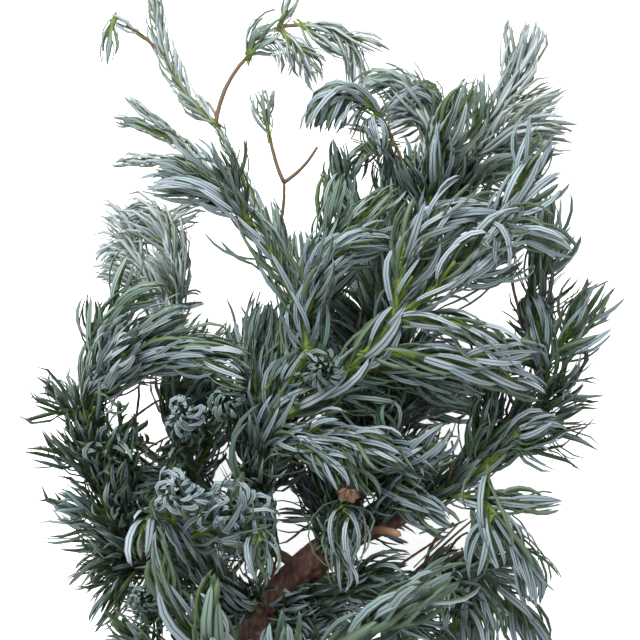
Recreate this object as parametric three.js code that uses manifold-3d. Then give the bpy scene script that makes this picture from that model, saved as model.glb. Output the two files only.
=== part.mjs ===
// A bough cut from a false cypress with soft blue needles, lying on its back.
// Millimetres, +Z up. +Y runs from the cut end towards the tips, +X is to the right.
// The origin is the middle of the ground under the bough.
import * as THREE from "three";
import { mergeVertices } from "three/addons/utils/BufferGeometryUtils.js";
import Module from "manifold-3d";

const wasm = await Module();
wasm.setup();

// Driving dimensions
const seam = 0.35; // air left between a piece and the one that it grows from
const limbSides = 8;
const limbSteps = 7;
const sprayColumns = 8;
const sprayRows = 8;
const unevenness = 0.13; // how far a spray's lumps stand out, as a part of its girth
const turnPerSpray = 2.4; // radians by which each spray's lumps are turned from the last one's
const ridgesRound = [3, 2]; // lumps round a spray, in two sets that cross
const ridgesTwist = [5, 9]; // radians by which each set winds from foot to tip
const bluntness = 0.55; // the lower, the blunter both ends of a spray
const slimFoot = 0.62; // girth near the foot, against the full girth
const fullTip = 0.5; // what is added to that towards the tip

// Limits of the reckoning
const onLine = 1e-6; // a point nearer the line than this stays on it
const sameSpot = 1e-4; // points nearer together than this become one
const steep = 0.9; // a line that rises by more than this part of its length counts as upright

// The middle of the cut end. Places are [across, along, up].
const cutEnd = [-11.5, -45, 3];

// Each limb: its name, what carries it, where along that, its tip, the shift of its
// middle off the straight line, and its radius at the foot and at the tip.
const limbs = [
  ["stem", null, 0, [3, -29, 14.5], [-0.8, 0.8, 1.2], 2.7, 2.1],
  ["leader", "stem", 1, [11.5, 4, 13], [-0.5, -1, 1.5], 1.9, 0.8],
  ["right_bough", "stem", 0.93, [29.5, -12, 19], [0.8, -1.8, 1], 1.3, 0.65],
  ["right_edge_bough", "right_bough", 1, [27.3, 3, 20], [1.2, 0, 0.5], 0.62, 0.4],
  ["left_bough", "stem", 0.25, [-31, -11, 18], [-5, -5, -1], 1.3, 0.6],
  ["left_middle_bough", "stem", 0.72, [-19.5, -2, 13], [-7, -2, -1], 1, 0.5],
  ["front_left_bough", "stem", 0.38, [-19.5, -25.5, 31], [0, -3, 2], 1, 0.6],
  ["front_low_bough", "stem", 0.14, [-3, -48.5, 31], [-2, -2.5, -1], 1, 0.6],
  ["centre_bough", "stem", 0.52, [-1.3, -3.9, 26.5], [-5.2, 3, 2], 1, 0.55],
  ["back_left_bough", "leader", 0.14, [-14, 26.3, 6], [2.2, 0.5, -3], 1, 0.45],
  ["thin_twig", "back_left_bough", 1, [-9.4, 35.8, 4.2], [-0.8, 0.6, 0], 0.42, 0.36],
  ["top_bough", "leader", 1, [14.5, 24, 11], [1.5, -1, 0], 0.78, 0.5],
  ["back_right_bough", "leader", 0.75, [21, 25, 8], [1.5, -2, -1.5], 0.8, 0.5],
  ["low_right_bough", "stem", 0.78, [19.5, -31.5, 10], [-1, -6, -2.5], 0.9, 0.5],
];

// Each spray of foliage: its name, what carries it, where along that, its tip, the shift
// of its middle, and its girth as a radius. A spray that comes earlier keeps its shape
// where two meet, and the later one is cut back round it.
const sprays = [
  ["centre_shoot", "centre_bough", 1, [-10, 13.5, 28], [1.2, 0.6, 0.3], 2.6],
  ["left_plume", "centre_shoot", 0.93, [-23.6, 17.3, 27], [0.3, 2.4, 1], 2.9],
  ["crest", "centre_shoot", 0.95, [-13.4, 22.3, 27], [1.1, 0.4, 0], 1.8],
  ["right_shoot", "centre_bough", 0.7, [10.4, 1.5, 29], [2.6, -1.9, 1], 2.8],
  ["right_plume", "right_shoot", 0.95, [24.2, 13, 30], [0.3, -0.8, 1.5], 3.3],
  ["right_upright", "right_shoot", 0.96, [12.6, 14, 30], [-0.8, 0, 0.5], 2.3],
  ["right_crown", "right_upright", 0.3, [18.7, 17.2, 29.5], [-0.8, 1, 0.5], 2.9],
  ["right_arch", "right_shoot", 0.92, [25.7, -6, 27.5], [0.5, 2, 1.5], 2.6],
  ["right_low_arch", "right_shoot", 0.7, [28.5, -9.5, 25], [0, 2.3, 1], 2.3],
  ["fan", "centre_bough", 0.97, [10, 11.3, 28], [-2, 3.4, 1], 3.2],
  ["fan_behind", "centre_bough", 0.92, [9.8, 16.8, 21], [-2.2, 3.6, -0.5], 2.8],
  ["rosette", "centre_bough", 0.8, [0, -6.5, 32.5], [1.2, 0, -0.5], 2.7],
  ["left_brush", "left_bough", 1, [-9.9, -5.2, 27.5], [0, 1.8, 2], 3.1],
  ["left_top_brush", "left_bough", 0.98, [-17.5, -0.5, 25], [-1.5, 3.8, 1], 3.3],
  ["middle_brush", "centre_bough", 0.52, [10.8, -18.6, 26.5], [0, 2.3, 1.5], 3],
  ["near_rosette", "front_left_bough", 0.96, [-18.3, -23.3, 39], [-0.5, 0.5, 0], 2.8],
  ["near_brush", "front_left_bough", 0.86, [-7.2, -29.6, 34], [1, 3.6, 2], 3.2],
  ["near_left", "front_low_bough", 0.72, [-20.8, -28, 37], [-2.5, -3.5, 1], 2.4],
  ["near_middle", "front_low_bough", 0.84, [-13.4, -31, 36], [-2, -2.5, 1], 2.4],
  ["near_right", "front_low_bough", 1, [15, -33.5, 38], [-1.5, 0.5, 1], 4.6],
  ["short_spray", "leader", 0.25, [17.3, -27, 21], [0, 0.8, 2], 2.5],
  ["tassel", "leader", 0.16, [3.6, -36, 20], [-1, 2.5, 4], 3],
  ["drooping_spray", "right_bough", 0.72, [22.4, -43, 19], [-0.2, 1.5, 2.5], 3.3],
  ["right_fan", "right_plume", 0.72, [29, 22.8, 26.5], [-0.5, 0, 0], 2.1],
  ["right_side", "right_edge_bough", 0.4, [34.5, 3, 22], [0.5, -0.5, 0.5], 3],
  ["right_edge", "right_edge_bough", 1, [29.8, 14, 18], [0.5, 0, 0], 2],
  ["upright", "top_bough", 0.55, [19, 30.3, 21.5], [-1, 0, 1.5], 2.5],
  ["dark_upright", "centre_bough", 0.68, [-7.7, 0.5, 20], [-1.5, 0, -1], 2.5],
  ["left_dark", "left_bough", 0.78, [-24.5, -14, 26], [0.5, -0.5, 0], 3.1],
  ["left_back", "left_middle_bough", 1, [-24.3, 14, 9], [2.2, 2, 0], 2.4],
  ["left_back_outer", "left_middle_bough", 0.94, [-28, 10.7, 10], [-0.5, 4, -1], 2.4],
  ["top_left_spray", "back_left_bough", 1, [-21.4, 44.5, 1.9], [-2.4, -1.8, 0], 1.7],
  ["left_arching_spray", "back_left_bough", 0.72, [-27, 31, 2.6], [-0.5, 1, 0], 2],
  ["top_clump", "thin_twig", 1, [-4.3, 40.4, 4], [-0.7, 0.9, 0], 1.9],
  ["top_hanging", "top_clump", 0.88, [-0.8, 30.3, 4.5], [1.3, 1.2, 0], 2.1],
  ["top_tuft", "top_clump", 0.93, [4, 31, 5.5], [2.6, 3, 0], 1.9],
  ["curl", "top_bough", 0.45, [-0.6, 23.7, 15.5], [-0.7, 11.5, 2], 2.1],
  ["top_blue", "top_bough", 1, [9.1, 29.4, 10.5], [1.2, 1.8, 0.5], 2.2],
  ["right_top", "back_right_bough", 1, [27.5, 39.8, 2.4], [-1.2, 0, -0.5], 2.5],
  ["right_back", "back_right_bough", 0.9, [29.5, 27.8, 10], [0, 0.5, 1], 2.7],
  ["low_blue", "low_right_bough", 1, [17.3, -44.5, 9], [0.5, 0, 1], 2.4],
  ["low_corner", "low_right_bough", 0.94, [29.5, -44, 2.2], [1.5, 2, -0.5], 2.6],
  ["under_left", "left_bough", 0.5, [-17, -17, 6], [0, -2, -3], 4.6],
  ["under_middle", "leader", 0.45, [2, 4, 6], [0, -1, -2], 5],
  ["under_right", "leader", 0.5, [22, -11, 7], [0, 1, -2], 5],
];

const barkColour = new THREE.MeshStandardMaterial({ color: 0x4a342c, roughness: 0.85, metalness: 0 });
const twigColour = new THREE.MeshStandardMaterial({ color: 0x5b6b2c, roughness: 0.75, metalness: 0 });
const foliageColour = new THREE.MeshStandardMaterial({ color: 0x5f7f84, roughness: 0.7, metalness: 0 });
const woodyRadius = 1.1; // a limb thicker than this at its foot has brown bark

const vector = (place) => new THREE.Vector3(...place);

// The line that a limb or spray grows along: an arc from its foot to its tip whose middle
// is shifted off the straight line by bow.
function growthLine(foot, tip, bow) {
  const bend = foot.clone().add(tip).multiplyScalar(0.5).addScaledVector(vector(bow), 2);
  return new THREE.QuadraticBezierCurve3(foot, bend, tip);
}

// Two directions square to the line at one place along it, which turn little along an arc.
function across(line, along) {
  const ahead = line.getTangent(along);
  const chord = line.v2.clone().sub(line.v0).normalize();
  const upright = Math.abs(chord.z) > steep ? vector([0, 1, 0]) : vector([0, 0, 1]);
  const side = new THREE.Vector3().crossVectors(ahead, upright).normalize();
  return [side, new THREE.Vector3().crossVectors(side, ahead)];
}

// Bends a closed upright shape of height 2 round the line. radiusAt gives the radius for a
// place along the line and a direction round it, and spare lengthens both ends.
function bendAlong(shape, line, radiusAt, spare) {
  const places = shape.getAttribute("position");
  for (let index = 0; index < places.count; index += 1) {
    const height = (places.getY(index) + 1) / 2;
    const along = THREE.MathUtils.clamp(height, 0, 1);
    const past = (height < 0.5 ? -spare : spare) * Math.abs(2 * height - 1);
    const round = Math.atan2(places.getZ(index), places.getX(index));
    const reach = Math.hypot(places.getX(index), places.getZ(index)) > onLine ? radiusAt(along, round) : 0;
    const [side, over] = across(line, along);
    const spot = line.getPoint(along).addScaledVector(line.getTangent(along), past);
    spot.addScaledVector(side, reach * Math.cos(round)).addScaledVector(over, reach * Math.sin(round));
    places.setXYZ(index, spot.x, spot.y, spot.z);
  }
  shape.deleteAttribute("normal");
  shape.deleteAttribute("uv");
  return mergeVertices(shape, sameSpot);
}

function asSolid(shape) {
  const vertProperties = new Float32Array(shape.getAttribute("position").array);
  const triVerts = new Uint32Array(shape.getIndex().array);
  return new wasm.Manifold(new wasm.Mesh({ numProp: 3, vertProperties, triVerts }));
}

function limbSolid(limb, spare) {
  const shape = new THREE.CylinderGeometry(1, 1, 2, limbSides, limbSteps);
  const radiusAt = (along) => THREE.MathUtils.lerp(limb.footRadius, limb.tipRadius, along) + spare;
  return asSolid(bendAlong(shape, limb.line, radiusAt, spare));
}

// A spray is slim at its foot, fullest past its middle and blunt at its tip. Its lumps
// follow from its number, so each spray has its own.
function spraySolid(spray, spare) {
  const shape = new THREE.SphereGeometry(1, sprayColumns, sprayRows);
  const turn = spray.number * turnPerSpray;
  const radiusAt = (along, round) => {
    const swell = Math.sin(Math.PI * along) ** bluntness * (slimFoot + fullTip * along);
    const ridges =
      Math.sin(ridgesRound[0] * round + turn + ridgesTwist[0] * along) +
      Math.sin(ridgesRound[1] * round - turn + ridgesTwist[1] * along);
    return spray.girth * swell * (1 + unevenness * ridges) + spare;
  };
  return asSolid(bendAlong(shape, spray.line, radiusAt, spare));
}

// Cutting can leave loose crumbs beside a piece. The largest part is the piece.
function largestPart(solid) {
  return solid.decompose().reduce((best, part) => (part.volume() > best.volume() ? part : best));
}

function asMesh(name, solid, material) {
  const { vertProperties, triVerts } = solid.getMesh();
  const shape = new THREE.BufferGeometry();
  shape.setAttribute("position", new THREE.BufferAttribute(new Float32Array(vertProperties), 3));
  shape.setIndex(new THREE.BufferAttribute(new Uint32Array(triVerts), 1));
  const mesh = new THREE.Mesh(shape, material);
  mesh.name = name;
  return mesh;
}

const group = new THREE.Group();
const grown = new Map(); // name to growth line
const outlines = []; // what later pieces are cut back from: a box and a solid, seam wider than the piece

function footPlace(carrier, at) {
  return carrier === null ? vector(cutEnd) : grown.get(carrier).getPoint(at);
}

// Adds one piece, cut back from every piece that is there already.
function addPiece(name, makeSolid, material) {
  let solid = makeSolid(0);
  const box = new THREE.Box3(vector(solid.boundingBox().min), vector(solid.boundingBox().max));
  for (const outline of outlines) {
    if (outline.box.intersectsBox(box)) solid = solid.subtract(outline.solid);
  }
  solid = largestPart(solid);
  group.add(asMesh(name, solid, material));
  const wide = makeSolid(seam);
  const wideBox = new THREE.Box3(vector(wide.boundingBox().min), vector(wide.boundingBox().max));
  outlines.push({ box: wideBox, solid: wide });
}

for (const [name, carrier, at, tip, bow, footRadius, tipRadius] of limbs) {
  const line = growthLine(footPlace(carrier, at), vector(tip), bow);
  grown.set(name, line);
  const material = footRadius > woodyRadius ? barkColour : twigColour;
  addPiece(name, (spare) => limbSolid({ line, footRadius, tipRadius }, spare), material);
}

sprays.forEach(([name, carrier, at, tip, bow, girth], number) => {
  const line = growthLine(footPlace(carrier, at), vector(tip), bow);
  grown.set(name, line);
  addPiece(name, (spare) => spraySolid({ line, girth, number }, spare), foliageColour);
});

// The lowest point rests on the ground, with the origin under the middle.
const extent = new THREE.Box3().setFromObject(group);
const middle = extent.getCenter(new THREE.Vector3());
group.position.set(-middle.x, -middle.y, -extent.min.z);

export default group;
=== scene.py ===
"""The looks of a bough cut from a blue false cypress, lying on its back under a camera
that looks straight down. Lengths are millimetres until a mesh is made.

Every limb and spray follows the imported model: its line is found from the solid that it
replaces, and stems, side shoots and needles grow along that line by one seeded rule."""

import math

import bpy
import numpy as np
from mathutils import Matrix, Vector, noise


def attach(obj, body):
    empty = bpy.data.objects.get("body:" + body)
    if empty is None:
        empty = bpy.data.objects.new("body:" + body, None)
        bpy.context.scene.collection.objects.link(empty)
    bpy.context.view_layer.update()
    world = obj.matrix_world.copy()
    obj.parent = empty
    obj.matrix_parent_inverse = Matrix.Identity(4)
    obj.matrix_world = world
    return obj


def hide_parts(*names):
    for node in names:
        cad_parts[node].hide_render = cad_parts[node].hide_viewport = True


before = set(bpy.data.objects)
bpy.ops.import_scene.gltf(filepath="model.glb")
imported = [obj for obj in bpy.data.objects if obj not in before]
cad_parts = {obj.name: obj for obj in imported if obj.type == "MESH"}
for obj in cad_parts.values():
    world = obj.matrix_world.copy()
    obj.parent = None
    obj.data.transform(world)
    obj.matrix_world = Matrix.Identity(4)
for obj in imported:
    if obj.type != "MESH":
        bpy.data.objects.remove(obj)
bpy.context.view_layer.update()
MM = 0.001
SEED = 20
# Other seeds for the shoots that grew badly with the usual one
OTHER_SEEDS = {"right_plume": 21}


def seeded(name):
    """The random numbers of one shoot, so that a change to one leaves the rest as they are."""
    return np.random.default_rng([OTHER_SEEDS.get(name, SEED), *name.encode()])


def table(text):
    """The rows of a table of words and numbers."""
    return [[float(word) if word[-1].isdigit() else word for word in row.split()]
            for row in text.strip().splitlines()]


def by_value(text):
    """The value of each name, from rows of a value and the names that have it."""
    return {name: value for value, *names in table(text) for name in names}


def new_object(name, data):
    """An object of that data, in the scene."""
    made = bpy.data.objects.new(name, data)
    bpy.context.scene.collection.objects.link(made)
    return made


# The view: the ground point under the camera, the height that it is focused on, how far
# it stands above that, and the width that it takes in there.
AIM = (-2.1, 2.5)
FOCUS_HEIGHT = 26
CAMERA_ABOVE = 600
VIEW_WIDTH = 83.2
SENSOR = 36

# Needles
NEEDLE_LENGTH = 9.4
NEEDLE_WIDTH = 0.74
NEEDLE_SPACING = 0.3  # stem length for each needle
DOWN = np.array([0.0, -1.0, -0.25])  # the way that tips nodded while the bough grew
STEM_RADII = (0.42, 0.24)  # of a shoot's stem at foot and tip
GREEN_TIP = 0.22  # radius of that stem's own tip, inside the feet of its needles
BARE_RADII = (0.28, 0.18)  # of a bare stem at foot and tip
TAN_RADIUS = 0.5  # a bare twig thicker than this is tan
STEM_STEP = 0.6  # spacing of the rings of a stem
STEM_SIDES = 8
LIMB_SIDES = 10
SMOOTH, KNOTTY = 0.06, 0.12  # unevenness of a stem's radius
# What a line has beyond its arc, in usual needle lengths, and how far from the arc's tip
# its stem ends: for a shoot, for a side shoot, and for a shoot with a whorl
TAIL, SIDE_TAIL = 1.6, 1.3
SHORT, SIDE_SHORT, WHORL_SHORT = 2.8, 2.6, 4.5
TRIES = 8  # for the place of a side shoot
GOLDEN_ANGLE = 2.39996
SHOOT_TURN = 2.4  # from one side shoot to the next
LOOSE_SHARE = 0.05  # of the needles, which stand off from the rest
BACK_SHARE = 0.14  # of the needles, which show their backs
USUAL_OPEN_TOP = 0.12  # of the needles on the upper side, which are left out
STEP = 0.25  # spacing of the points of a line
BASE_RUN = 1.5  # how far a needle's base runs down the stem
BASE_WIDE = 0.7  # breadth of that base against the needle's
GROUND = 0.3  # height below which nothing that grows may go

# Limbs in the order in which they branch: name, what carries it, and where along that
LIMBS = table("""
stem nothing 0
leader stem 1
right_bough stem 0.93
right_edge_bough right_bough 1
left_bough stem 0.25
left_middle_bough stem 0.72
front_left_bough stem 0.38
front_low_bough stem 0.14
centre_bough stem 0.52
back_left_bough leader 0.14
thin_twig back_left_bough 1
top_bough leader 1
back_right_bough leader 0.75
low_right_bough stem 0.78
""")
SLIM = 0.72  # thickness of a green limb without its needles' bases, against its solid
# The woody limbs, and the share of each beyond which its bark gives way to green
WOODY = {"stem": 1.0, "leader": 0.4, "right_bough": 0.35, "left_bough": 0.5}

# Sprays, one to a row: name, what carries it and where along that, tint, how hard its tip
# nods, how many side shoots it has, and the length and spread of its needles against the
# usual. One that arches more than its solid has its tip and middle too, from the model's
# own origin.
SPRAYS = table("""
centre_shoot centre_bough 1 blue 0 0 1 1
left_plume centre_shoot 0.93 silver 0.06 3 0.98 0.95 -20.4 17.7 26.8 -14.9 16.9 27.8
crest centre_shoot 0.95 shade 0 1 0.75 0.8 -13.1 21.8 29.2 -11.3 17.9 29.4
right_shoot centre_bough 0.7 silver 0 0 1.05 0.9
right_plume right_shoot 0.95 silver 0.12 3 1 1
right_upright right_shoot 0.96 silver 0 1 1 0.9
right_crown right_upright 0.3 silver 0.08 3 0.95 1 22.9 13.2 28.8 14.5 12.7 30.3
right_arch right_shoot 0.92 silver 0.1 2 0.9 0.9 24.9 -6.2 27.8 17.6 -0.3 29.3
right_low_arch right_shoot 0.7 silver 0.02 2 1 0.8 28.4 -9.4 24.8 17.9 -5.5 27.3
fan centre_bough 0.97 blue 0.1 3 0.95 1 9.1 10 27.8 0.6 7 28.3
fan_behind centre_bough 0.92 fresh 0.03 3 1 1
rosette centre_bough 0.8 deep 0 0 0.75 1.3
left_brush left_bough 1 silver 0.03 4 1 0.85 -10.1 -4.7 27.8 -21.9 -4.6 24.3
left_top_brush left_bough 0.98 blue 0.05 6 1 0.85
middle_brush centre_bough 0.52 silver 0.09 4 0.9 1
near_rosette front_left_bough 0.96 blue 0 2 0.85 1.2
near_brush front_left_bough 0.86 blue 0.2 3 0.8 1.2
near_left front_low_bough 0.72 silver 0 1 1.15 0.45
near_middle front_low_bough 0.84 fresh 0 1 1.15 0.5 -14 -33.7 35.8 -13.4 -42.8 32.3
near_right front_low_bough 1 near 0 5 1.2 1.2
short_spray leader 0.25 blue 0.02 4 0.85 0.9
tassel leader 0.16 silver 0.03 1 0.7 1
drooping_spray right_bough 0.72 blue 0.03 4 0.95 1 23 -30.5 19.8 21.9 -24.7 21.3
right_fan right_plume 0.72 blue 0 2 1 0.8
right_side right_edge_bough 0.4 blue 0.03 3 1 1
right_edge right_edge_bough 1 deep 0 3 1 0.9
upright top_bough 0.55 fresh 0 1 1 0.7
dark_upright centre_bough 0.68 deep 0 3 1 0.9
left_dark left_bough 0.78 deep 0.12 5 0.9 1
left_back left_middle_bough 1 pale 0.3 3 0.85 0.8 -26.5 13.1 8.8 -20.8 13.1 10.8
left_back_outer left_middle_bough 0.94 pale 0.3 3 0.85 0.8 -29.3 7.8 9.8 -24.8 8.5 11.3
top_left_spray back_left_bough 1 pale 0 0 0.5 0.7 -22.3 47.4 2.3 -20.7 35.4 3.8
left_arching_spray back_left_bough 0.72 pale 0.02 0 0.5 0.4
top_clump thin_twig 1 haze 0 0 0.5 1.1 -5.1 39.8 3.5 -7.3 38.3 3.9
top_hanging top_clump 0.88 pale 0.05 3 0.6 0.9 -0.8 32.1 3.8 -2.8 36.6 4.2
top_tuft top_clump 0.93 pale 0.06 2 0.75 0.8 4.6 31.8 5.3 2.7 38.5 4.7
curl top_bough 0.45 silver 0.2 0 0.9 1.1 -0.4 26 15.5 5.8 29.5 15.3
top_blue top_bough 1 blue 0.1 3 0.85 0.9 9.6 28.3 11.3 15.1 30.6 11.8
right_top back_right_bough 1 pale 0.02 3 0.95 0.9 28.9 39.2 2.8 26 32 5.8
right_back back_right_bough 0.9 pale 0.05 4 1 1
low_blue low_right_bough 1 blue 0 3 1 0.9
low_corner low_right_bough 0.94 blue 0.02 4 1 0.9
under_left left_bough 0.5 shade 0 6 1 1.3
under_middle leader 0.45 deep 0 6 1 1.3
under_right leader 0.5 deep 0 6 1 1.3
""")

# Each tint's name and five colours: the bright and the dull of the waxy bands, the green of
# edge and rib, the green of the back, and the yellow-green where a needle leaves the stem
# Deep and shade are darker copies of the needle colours: painted shade for the shoots inside the
# bough and under the others, and for sprays that lie in shadow
# Pale and haze have their darker parts lifted: painted light, the glow of the bright ground around
# the far shoots
TINTS = {name: np.reshape(colours, (-1, 3)) for name, *colours in table("""
silver 0.285 0.34 0.39  0.215 0.275 0.325  0.056 0.086 0.06  0.074 0.118 0.066  0.16 0.235 0.028
blue 0.23 0.292 0.34  0.172 0.23 0.268  0.048 0.078 0.052  0.064 0.106 0.058  0.14 0.21 0.026
fresh 0.212 0.28 0.283  0.145 0.21 0.19  0.044 0.08 0.036  0.068 0.116 0.044  0.15 0.23 0.028
deep 0.14 0.198 0.21  0.08 0.13 0.118  0.022 0.044 0.02  0.032 0.064 0.024  0.075 0.115 0.02
shade 0.07 0.105 0.1  0.042 0.07 0.055  0.014 0.028 0.012  0.022 0.044 0.015  0.045 0.068 0.012
pale 0.285 0.335 0.345  0.22 0.268 0.265  0.15 0.185 0.155  0.165 0.21 0.16  0.18 0.21 0.09
near 0.165 0.222 0.24  0.12 0.172 0.175  0.05 0.085 0.056  0.06 0.102 0.064  0.13 0.2 0.03
haze 0.22 0.28 0.275  0.155 0.215 0.195  0.1 0.14 0.105  0.12 0.17 0.115  0.15 0.2 0.045
""")}
PARTS_OF_TINT = ("bright_band", "dull_band", "edge", "back", "base")
BRIGHT, DULL, EDGE, BACK, BASE = range(5)


# Lines

class Line:
    """Evenly spaced points with the way ahead and two directions square to it. The arc
    itself is full long, its stem goes as far as stem_length, and needles reach on."""

    def __init__(self, spots, full, stem_length):
        self.spots, self.full, self.stem_length = spots, full, stem_length
        self.ahead = unit(np.gradient(spots, axis=0))
        self.side = np.zeros_like(spots)
        start = [0.0, 0.0, 1.0] if abs(self.ahead[0][2]) < 0.9 else [0.0, 1.0, 0.0]
        last = unit(np.cross(self.ahead[0], start))
        for index, ahead in enumerate(self.ahead):
            last = unit(last - ahead * np.dot(last, ahead))
            self.side[index] = last
        self.over = np.cross(self.side, self.ahead)

    def at(self, places):
        """Spot, way ahead, side and over for each place in millimetres from the foot."""
        index = np.clip(np.asarray(places, float) / STEP, 0, len(self.spots) - 1.001)
        low = index.astype(int)
        part = (index - low)[..., None]
        spots, *ways = (values[low] * (1 - part) + values[low + 1] * part
                        for values in (self.spots, self.ahead, self.side, self.over))
        return spots, *map(unit, ways)

    def at_one(self, place):
        """The same for a single place."""
        return [values[0] for values in self.at([place])]

    def share(self, share):
        """The spot at a share of the way to the tip."""
        return self.at_one(share * self.full)[0]


def unit(vectors):
    return vectors / np.maximum(np.linalg.norm(vectors, axis=-1, keepdims=True), 1e-9)


def turned(side, over, turn):
    """The direction that lies a turn from side towards over."""
    return side * np.cos(turn) + over * np.sin(turn)


def square_to(axis, beside):
    """The axis at unit length and two directions square to it."""
    axis = unit(np.asarray(axis, float))
    side = unit(np.cross(axis, beside))
    return axis, side, np.cross(side, axis)


def spaced(points):
    """The same route with points STEP apart."""
    lengths = np.concatenate([[0], np.cumsum(np.linalg.norm(np.diff(points, axis=0), axis=1))])
    places = np.arange(0, lengths[-1], STEP)
    return np.stack([np.interp(places, lengths, points[:, axis]) for axis in range(3)], axis=1)


def arc(foot, middle, tip, nod=0.0, tail=0.0, short=0.0, way=DOWN):
    """A line from foot over middle to tip, with a tail that bends on and nods the given
    way. The stem stops short of the tip, where only needles go on."""
    foot, middle, tip = (np.asarray(place, float) for place in (foot, middle, tip))
    bend = 2 * middle - (foot + tip) / 2
    share = np.linspace(0, 1, 80)[:, None]
    spots = spaced((1 - share) ** 2 * foot + 2 * share * (1 - share) * bend + share ** 2 * tip)
    full = STEP * (len(spots) - 1)
    ahead = unit(spots[-1] - spots[-2])
    turn = ahead - unit(spots[-6] - spots[-7]) if len(spots) > 8 else np.zeros(3)
    route = list(spots)
    for _ in range(int(tail / STEP)):
        ahead = unit(ahead + turn * 0.2 + way * nod * STEP)
        route.append(route[-1] + ahead * STEP)
    route = np.array(route)
    route[:, 2] = np.maximum(route[:, 2], GROUND + 0.4)
    return Line(route, full, max(full - short, full * 0.4))


def node_points(name):
    """The solid's own corners in millimetres."""
    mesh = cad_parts[name].data
    points = np.zeros(len(mesh.vertices) * 3)
    mesh.vertices.foreach_get("co", points)
    return np.unique(np.round(points.reshape(-1, 3) / MM, 3), axis=0)


CAP_POINTS = 9  # corners of a limb's end face, its middle included


def end_of(points, start):
    """The middle of a limb's far end face, seen from start."""
    far = points[np.argmax(np.linalg.norm(points - start, axis=1))]
    toward = unit(far - points.mean(axis=0))
    order = np.argsort(points @ toward)[-CAP_POINTS:]
    return points[order].mean(axis=0)


def middle_of(points, foot, tip, reach=0.12):
    """The middle of the solid half way from foot to tip."""
    along = (points - foot) @ (tip - foot) / np.dot(tip - foot, tip - foot)
    band = np.abs(along - 0.5) < reach
    while band.sum() < 12 and reach < 0.4:
        reach += 0.05
        band = np.abs(along - 0.5) < reach
    return points[band].mean(axis=0)


def limb_radii(points, line):
    """Radius at foot and tip, from a straight fit through the clear part of the limb."""
    gaps = np.linalg.norm(points[:, None, :] - line.spots[None, :, :], axis=2)
    share = gaps.argmin(axis=1) / (len(line.spots) - 1)
    radius = gaps.min(axis=1)
    clear = (share > 0.15) & (share < 0.97) & (radius > 0.2)
    slope, start = np.polyfit(share[clear], radius[clear], 1)
    return start, start + slope


# Line of each limb and spray, and radius of each limb at its foot and tip
lines, radii = {}, {}
for name, carrier, at in LIMBS:
    points = node_points(name)
    if name == "stem":
        tip = end_of(points, points[points[:, 1].argmin()])
        foot = end_of(points, tip)
    else:
        foot = lines[carrier].share(at)
        tip = end_of(points, foot)
    lines[name] = arc(foot, middle_of(points, foot, tip), tip)
    radii[name] = limb_radii(points, lines[name])


# Needles: rings of corners along a bent flat blade with two waxy bands

# Across and over the blade for each corner of its rings, place along it and breadth of
# each ring, and the kind of face after each corner. A full blade's corners go from edge to
# edge over the banded face and back under it.
FULL_BLADE = (
    np.array([-0.5, -0.39, -0.075, 0.075, 0.39, 0.5, 0.0]),
    np.array([0.0, 0.07, 0.03, 0.03, 0.07, 0.0, -0.2]),
    np.array([0.0, 0.14, 0.32, 0.52, 0.72, 0.89]),
    np.array([0.62, 0.8, 1.0, 1.0, 0.86, 0.55]),
    np.array([EDGE, BRIGHT, EDGE, BRIGHT, EDGE, BACK, BACK]),
)
# A plain blade is for needles deep in the bough
PLAIN_BLADE = (
    np.array([-0.5, 0.0, 0.5, 0.0]),
    np.array([0.0, 0.07, 0.0, -0.2]),
    np.array([0.0, 0.3, 0.7]),
    np.array([0.7, 1.0, 0.85]),
    np.array([BRIGHT, BRIGHT, BACK, BACK]),
)


class Pile:
    """Points and faces of one piece, gathered from many small shapes."""

    def __init__(self):
        self.shapes, self.count, self.triangles = [], 0, 0

    def add(self, points, quads, quad_kinds, thirds, third_kinds):
        self.shapes.append((points, quads + self.count, thirds + self.count, quad_kinds,
                            third_kinds))
        self.count += len(points)
        self.triangles += 2 * len(quads) + len(thirds)

    def make(self, name, materials):
        points, quads, thirds, *kinds = map(np.concatenate, zip(*self.shapes))
        corners = np.concatenate([quads.ravel(), thirds.ravel()])
        starts = np.concatenate([np.arange(len(quads)) * 4,
                                 len(quads) * 4 + np.arange(len(thirds)) * 3])
        mesh = bpy.data.meshes.new(name)
        mesh.vertices.add(len(points))
        mesh.vertices.foreach_set("co", (points * MM).astype(np.float32).ravel())
        mesh.loops.add(len(corners))
        mesh.loops.foreach_set("vertex_index", corners.astype(np.int32))
        mesh.polygons.add(len(starts))
        mesh.polygons.foreach_set("loop_start", starts.astype(np.int32))
        mesh.polygons.foreach_set("material_index", np.concatenate(kinds).astype(np.int32))
        mesh.polygons.foreach_set("use_smooth", np.ones(len(starts), bool))
        mesh.update(calc_edges=True)
        mesh.validate()
        for material in materials:
            mesh.materials.append(material)
        return new_object(name, mesh)


def between_rings(rings, around, backwards=False):
    """Quads between rings of corners, and the ring and the corner that each starts from."""
    grid = np.meshgrid(np.arange(rings - 1), np.arange(around), indexing="ij")
    ring, corner = (values.ravel() for values in grid)
    first, second = corner, (corner + 1) % around
    if backwards:
        first, second = second, first
    near, far = ring * around, (ring + 1) * around
    quads = np.stack([near + first, near + second, far + second, far + first], axis=1)
    return quads, ring, corner


def fan(ring, middle, backwards=False):
    """Triangles from the sides of a ring to a point in its middle."""
    sides = [np.roll(ring, -1), ring] if backwards else [ring, np.roll(ring, -1)]
    return np.stack([*sides, np.full(len(ring), middle)], axis=1)


piles = {}
MOST_TRIANGLES = 180000


def pile_for(group):
    """The open pile of a group of needles. A full one is closed and the next begun."""
    row = piles.setdefault(group, [Pile()])
    if row[-1].triangles > MOST_TRIANGLES:
        row.append(Pile())
    return row[-1]


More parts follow.
